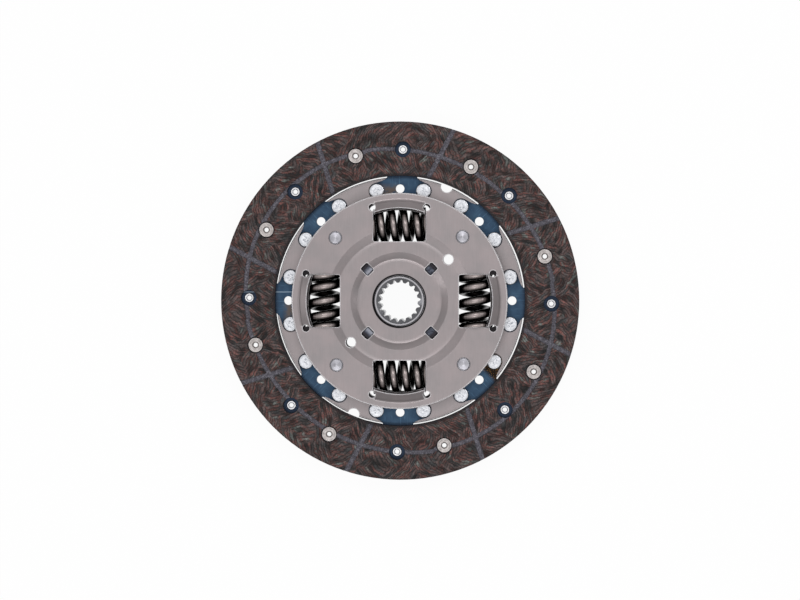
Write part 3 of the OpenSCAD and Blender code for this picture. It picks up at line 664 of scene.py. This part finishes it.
def zinc_rivet():
    made = Finish("zinc_rivet", Metallic=1.0)
    _, spot = made.nearest(SEGMENTS, SEGMENT_RIVET_R, 0.0, SEGMENT_RIVET_ANGLE)
    spangle = made.noise(SPANGLE_SIZE)
    dents = made.noise(DENT_SIZE, detail=1.0)
    crease = made.step(abs(dents - 0.5), *ZINC_CREASE_W) * made.step(spot, *ZINC_MIDDLE)
    ring = made.step(abs(spot - ZINC_RING_R), *ZINC_RING_W)
    tone = made.mottle(spangle, *ZINC_TONES)
    tone = made.cover(tone, crease, ZINC_CREASE, strength=0.8)
    tone = made.cover(tone, ring, ZINC_RING, strength=0.35)
    tone = made.cover(tone, made.step(made.flatness(), *ZINC_SIDE_FLATNESS), ZINC_SIDE_SHADE)
    shape = made.bump(dents, DENT_H, strength=0.4, normal=made.rounded(ZINC_ROUNDING))
    return made.done(tone, made.blend(spangle, *ZINC_ROUGHNESS), shape)


# Stop pins: steel with a low cone on the end and painted shade on its outer edge

PIN_TONES = (linear(150, 149, 156), linear(174, 173, 179))
# Painted shade of the gap round the head
PIN_EDGE_SHADE = linear(70, 67, 72)
PIN_SHADE_R = (3.5 * MM, 3.95 * MM)
PIN_CLOUD = 2.5 * MM
PIN_CLOUD_H = 0.03 * MM
PIN_ROUNDING = 0.2 * MM
PIN_ROUGHNESS = (0.24, 0.36)
# Fall of the cone from its middle outward, as a slope
PIN_CONE = 0.12


def pin_steel():
    made = Finish("pin_steel", Metallic=1.0)
    _, spot = made.nearest(STOP_PINS, STOP_PIN_R, STOP_PIN_ANGLE)
    cloud = made.noise(PIN_CLOUD, detail=3.0)
    tone = made.mottle(cloud, *PIN_TONES)
    tone = made.cover(tone, made.step(spot, *PIN_SHADE_R), PIN_EDGE_SHADE, strength=0.85)
    rise = spot * (-PIN_CONE / MM)
    cone = made.bump(rise, MM, strength=1.0, normal=made.rounded(PIN_ROUNDING))
    shape = made.bump(cloud, PIN_CLOUD_H, strength=0.5, normal=cone)
    return made.done(tone, made.blend(cloud, *PIN_ROUGHNESS), shape)


# Thrust ring: slate grey lugs with a painted highlight on those left of the axis, painted shade along their
# edges, and one plain tone on their outer side

LUG_TONES = (linear(50, 52, 61), linear(88, 92, 103))
# Painted highlight on the lugs left of the axis
LUG_HIGHLIGHT = linear(158, 160, 170)
# Painted shade of the gap round each lug, along its edges
LUG_EDGE_SHADE = linear(18, 18, 22)
LUG_EDGE_SHADE_W = 0.7 * MM
LUG_OUTER = linear(60, 58, 63)
LUG_CLOUD = 1.2 * MM
LUG_CLOUD_H = 0.05 * MM
LUG_ROUNDING = 0.2 * MM
LUG_ROUGHNESS = (0.25, 0.4)
# Distances from the lugs' circle: where the painted highlight starts, and where the outer tone does
LUG_HIGHLIGHT_FROM = (0.4 * MM, -1.4 * MM)
LUG_OUTER_FROM = (0.3 * MM, 0.9 * MM)
# The painted highlight is on the lugs left of the axis
LUG_HIGHLIGHT_X = (2 * MM, -2 * MM)


def lug_steel():
    made = Finish("lug_steel", Metallic=1.0)
    outward, _ = made.nearest(LUGS, LUG_RING_R, LUG_ANGLE)
    cloud = made.noise(LUG_CLOUD, detail=3.0)
    # Painted highlight on the lugs left of the axis
    highlight = made.step(outward, *LUG_HIGHLIGHT_FROM) * made.step(made.x, *LUG_HIGHLIGHT_X)
    tone = made.mottle(cloud, *LUG_TONES, spread=0.15)
    tone = made.cover(tone, highlight, LUG_HIGHLIGHT, strength=0.75)
    # Painted shade along the lugs' edges
    tone = made.cover(tone, made.edge_band(LUG_EDGE_SHADE_W), LUG_EDGE_SHADE, strength=0.8)
    tone = made.cover(tone, made.step(outward, *LUG_OUTER_FROM), LUG_OUTER)
    shape = made.bump(cloud, LUG_CLOUD_H, strength=0.5, normal=made.rounded(LUG_ROUNDING))
    return made.done(tone, made.blend(cloud, *LUG_ROUGHNESS), shape)


# Facing rivets, and the inner pieces of one plain tone

RIVET_HEAD_TONES = (linear(158, 152, 150), linear(192, 186, 184))
RIVET_TAIL_TONES = (linear(204, 204, 206), linear(238, 238, 241))
RIVET_CLOUD = 1.6 * MM
RIVET_CLOUD_H = 0.04 * MM
RIVET_ROUGHNESS = (0.3, 0.42)
DULL_CLOUD_H = 0.03 * MM
SMALL_ROUNDING = 0.15 * MM
LINING = dict(
    tones=(linear(78, 58, 44), linear(104, 80, 62)),
    size=1.2 * MM,
    roughness=(0.74, 0.86),
)
BUSH = dict(
    tones=(linear(120, 96, 66), linear(142, 116, 84)),
    size=2.0 * MM,
    roughness=(0.49, 0.61),
)
CONE = dict(
    tones=(linear(52, 53, 58), linear(72, 73, 80)),
    size=1.5 * MM,
    roughness=(0.34, 0.46),
    Metallic=1.0,
)


def drawn_rivet(name, tones):
    made = Finish(name, Metallic=1.0)
    cloud = made.noise(RIVET_CLOUD)
    shape = made.bump(cloud, RIVET_CLOUD_H, strength=0.4, normal=made.rounded(SMALL_ROUNDING))
    return made.done(made.mottle(cloud, *tones), made.blend(cloud, *RIVET_ROUGHNESS), shape)


def dull(name, tones, size, roughness, **constants):
    """A tone with clouds about size across; roughness gives the least and the greatest."""
    made = Finish(name, **constants)
    cloud = made.noise(size, detail=3.0)
    shape = made.bump(cloud, DULL_CLOUD_H, strength=0.5, normal=made.rounded(SMALL_ROUNDING))
    return made.done(made.mottle(cloud, *tones), made.blend(cloud, *roughness), shape)


# Finishes put on the pieces

def paint(material, *nodes):
    for name in nodes:
        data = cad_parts[name].data
        data.materials.clear()
        data.materials.append(material)


paint(plate_steel("disc_plate_steel"), "disc_plate")
paint(plate_steel("retaining_plate_steel", PRESSED_STEPS), "retaining_plate")
paint(hub_steel(), "hub")
for number in range(1, SEGMENTS + 1):
    paint(blued_steel(number), f"cushion_segment_{number}")
paint(facing_yarn("facing_yarn_front", FACING_TOP, 1), "front_facing")
paint(facing_yarn("facing_yarn_back", FACING_BOTTOM, -1), "back_facing")
paint(zinc_rivet(), "segment_rivets")
paint(drawn_rivet("rivet_heads", RIVET_HEAD_TONES), "front_facing_rivets")
paint(drawn_rivet("rivet_tails", RIVET_TAIL_TONES), "back_facing_rivets")
paint(pin_steel(), "stop_pins")
paint(lug_steel(), "thrust_ring")
paint(dull("friction_lining", **LINING), "front_friction_washer", "back_friction_washer")
paint(dull("bush_resin", **BUSH), "hub_bush")
paint(dull("cone_steel", **CONE), "cone_spring")


# Springs, as smooth coils in the place of the CAD coils

RING_SIDES = 20
RINGS_A_TURN = 40
SHARP_ANGLE = math.radians(40)
# Open turns are counted to each side of the middle, and tip is what the grinding leaves of the wire's end
COILS = {
    "stiff": dict(wire=5.0 * MM, turns=4.7, open_turns=1.3, end_gap=0.2 * MM, tip=1.0 * MM, phase=0.0),
    "light": dict(wire=4.1 * MM, turns=5.56, open_turns=1.7, end_gap=0.3 * MM, tip=0.3 * MM, phase=0.5),
}


def wire_section(to_end, wire_r, far_end):
    """Outline of the wire round its own middle, as steps along the spring's axis and out from it.

    It is cut flat where the spring ends, to_end from the wire's middle, at the far end or the near one.
    """
    least = math.pi / RING_SIDES
    reach = max(-1.0, min(math.cos(least), to_end / wire_r))
    flat = max(least, math.acos(reach))
    side = 0.5 * math.pi if far_end else 1.5 * math.pi
    outline = []
    for corner in range(RING_SIDES):
        number = corner if far_end else (corner + RING_SIDES // 2) % RING_SIDES
        around = side + flat + (2 * math.pi - 2 * flat) * number / (RING_SIDES - 1)
        outline.append((wire_r * math.sin(around), wire_r * math.cos(around)))
    return outline


def close_tube(mesh, loops):
    """Faces from each loop of points to the next, and one over each end."""
    for first, second in zip(loops, loops[1:]):
        for here in range(RING_SIDES):
            there = (here + 1) % RING_SIDES
            mesh.faces.new((first[here], first[there], second[there], second[here]))
    mesh.faces.new(reversed(loops[0]))
    mesh.faces.new(loops[-1])
    bmesh.ops.recalc_face_normals(mesh, faces=mesh.faces)


def coil_mesh(name, wire, turns, open_turns, end_gap, tip, phase):
    """A right-hand coil along X with closer end turns and ends ground flat, round its own middle."""
    half_l = SPRING_L / 2
    wire_r = wire / 2
    mean_r = SPRING_OD / 2 - wire_r
    end_pitch = wire + end_gap
    open_length = half_l + wire_r - tip - end_pitch * (turns / 2 - open_turns)
    pitch = open_length / open_turns
    rings = round(turns * RINGS_A_TURN)
    mesh = bmesh.new()
    loops = []
    for ring in range(rings + 1):
        turned = turns * (ring / rings - 0.5)
        closed = max(0.0, abs(turned) - open_turns)
        reach = pitch * min(open_turns, abs(turned)) + end_pitch * closed
        x = math.copysign(reach, turned)
        angle = math.pi / 2 + 2 * math.pi * (turned + phase)
        loop = []
        for step_x, step_r in wire_section(half_l - reach, wire_r, turned >= 0):
            r = mean_r + step_r
            loop.append(mesh.verts.new((x + step_x, r * math.cos(angle), r * math.sin(angle))))
        loops.append(loop)
    close_tube(mesh, loops)
    data = bpy.data.meshes.new(name)
    mesh.to_mesh(data)
    mesh.free()
    data.shade_smooth()
    data.set_sharp_from_angle(angle=SHARP_ANGLE)
    return data


def add_spring(number, coat):
    """A coil that rides with its CAD spring's body and stands for it."""
    kind = "stiff" if number % 2 else "light"
    turn = (number - 1) * 2 * math.pi / SPRINGS
    centre = Vector((SPRING_CENTRE_R * math.cos(turn), SPRING_CENTRE_R * math.sin(turn), SPRING_Z))
    data = coil_mesh(f"coil_{number}", **COILS[kind])
    data.transform(Matrix.Translation(centre) @ Matrix.Rotation(turn + math.pi / 2, 4, "Z"))
    data.materials.append(coat)
    coil = bpy.data.objects.new(f"coil_{number}", data)
    bpy.context.scene.collection.objects.link(coil)
    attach(coil, f"spring_{number}")
    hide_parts(f"spring_{number}")
    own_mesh(coil)


coat = spring_coat()
for number in range(1, SPRINGS + 1):
    add_spring(number, coat)


# Floor, light and camera

FLOOR_SIZE = 4.0
FLOOR_TONE = 0.9
# Share of the floor's look that is plain white, where it is seen directly
FLOOR_WHITE = 0.95
# Height of the sky's direction, from 0 at the horizon to 1 overhead, and the level of its light there
SKY = ((0.0, 0.3), (0.25, 0.36), (0.5, 0.58), (0.75, 0.88), (0.9, 0.92), (1.0, 0.9))
LAMP_TARGET = Vector((0, 0, 0.015))
LAMPS = {
    "far_bar": dict(place=(0.0, 0.56, 1.4), size=(0.75, 0.22), watts=2.6),
    "near_bar": dict(place=(0.0, -0.56, 1.4), size=(0.75, 0.22), watts=2.2),
    "far_lamp": dict(place=(0.0, 1.3, 0.45), size=(0.6, 0.3), watts=0.3),
    "left_lamp": dict(place=(-1.15, 0.0, 0.6), size=(0.3, 0.3), watts=0.5),
    "right_lamp": dict(place=(0.88, 0.47, 0.84), size=(0.3, 0.3), watts=0.95),
}
CAMERA_DISTANCE = 1.5
CAMERA_TILT = math.radians(2.1)
CAMERA_TURN = math.radians(27)
CAMERA_REACH = 10
VIEW_WIDTH = 0.4241
AIM = Vector((0.09 * MM, 0.42 * MM, FACING_TOP))


def seen_directly(tree, rays):
    """1 for rays that come from the camera, a mirror or a glass."""
    total = rays.outputs["Is Camera Ray"]
    for name in ("Is Glossy Ray", "Is Transmission Ray"):
        added = tree.nodes.new("ShaderNodeMath")
        added.operation = "ADD"
        added.use_clamp = True
        tree.links.new(total, added.inputs[0])
        tree.links.new(rays.outputs[name], added.inputs[1])
        total = added.outputs[0]
    return total


def make_floor():
    bpy.ops.mesh.primitive_grid_add(x_subdivisions=2, y_subdivisions=2, size=FLOOR_SIZE)
    floor = bpy.context.object
    floor.name = "floor"
    material = bpy.data.materials.new("pale_floor")
    material.use_nodes = True
    tree = material.node_tree
    tree.nodes.clear()
    output = tree.nodes.new("ShaderNodeOutputMaterial")
    matte = tree.nodes.new("ShaderNodeBsdfDiffuse")
    matte.inputs["Color"].default_value = grey(FLOOR_TONE)
    white = tree.nodes.new("ShaderNodeEmission")
    mixed = tree.nodes.new("ShaderNodeMixShader")
    rays = tree.nodes.new("ShaderNodeLightPath")
    share = tree.nodes.new("ShaderNodeMath")
    share.operation = "MULTIPLY"
    share.inputs[1].default_value = FLOOR_WHITE
    tree.links.new(seen_directly(tree, rays), share.inputs[0])
    tree.links.new(share.outputs[0], mixed.inputs["Fac"])
    tree.links.new(matte.outputs[0], mixed.inputs[1])
    tree.links.new(white.outputs[0], mixed.inputs[2])
    tree.links.new(mixed.outputs[0], output.inputs["Surface"])
    floor.data.materials.append(material)


def make_world():
    world = bpy.data.worlds.new("studio")
    world.use_nodes = True
    tree = world.node_tree
    background = tree.nodes["Background"]
    place = tree.nodes.new("ShaderNodeTexCoord")
    parts = tree.nodes.new("ShaderNodeSeparateXYZ")
    sky = tree.nodes.new("ShaderNodeValToRGB")
    tree.links.new(place.outputs["Generated"], parts.inputs[0])
    tree.links.new(parts.outputs[2], sky.inputs[0])
    elements = sky.color_ramp.elements
    while len(elements) < len(SKY):
        elements.new(0.5)
    for element, (at, level) in zip(elements, SKY):
        element.position = at
        element.color = grey(level)
    tree.links.new(sky.outputs["Color"], background.inputs["Color"])
    bpy.context.scene.world = world


def make_softbox(name, place, size, watts):
    lamp = bpy.data.lights.new(name, "AREA")
    lamp.shape = "RECTANGLE"
    lamp.size, lamp.size_y = size
    lamp.energy = watts
    box = bpy.data.objects.new(name, lamp)
    box.location = place
    box.visible_camera = False
    box.rotation_euler = (LAMP_TARGET - Vector(place)).to_track_quat("-Z", "Y").to_euler()
    bpy.context.scene.collection.objects.link(box)


def make_camera():
    data = bpy.data.cameras.new("camera")
    data.sensor_fit = "HORIZONTAL"
    data.lens = data.sensor_width * CAMERA_DISTANCE / VIEW_WIDTH
    data.clip_end = CAMERA_REACH
    back = Vector((
        math.sin(CAMERA_TILT) * math.cos(CAMERA_TURN),
        math.sin(CAMERA_TILT) * math.sin(CAMERA_TURN),
        math.cos(CAMERA_TILT),
    ))
    right = Vector((0, 1, 0)).cross(back).normalized()
    up = back.cross(right)
    axes = Matrix((right, up, back)).transposed().to_4x4()
    camera = bpy.data.objects.new("camera", data)
    camera.matrix_world = Matrix.Translation(AIM + back * CAMERA_DISTANCE) @ axes
    bpy.context.scene.collection.objects.link(camera)
    bpy.context.scene.camera = camera


make_floor()
make_world()
for name, lamp in LAMPS.items():
    make_softbox(name, **lamp)
make_camera()
bpy.context.scene.view_settings.view_transform = "Standard"
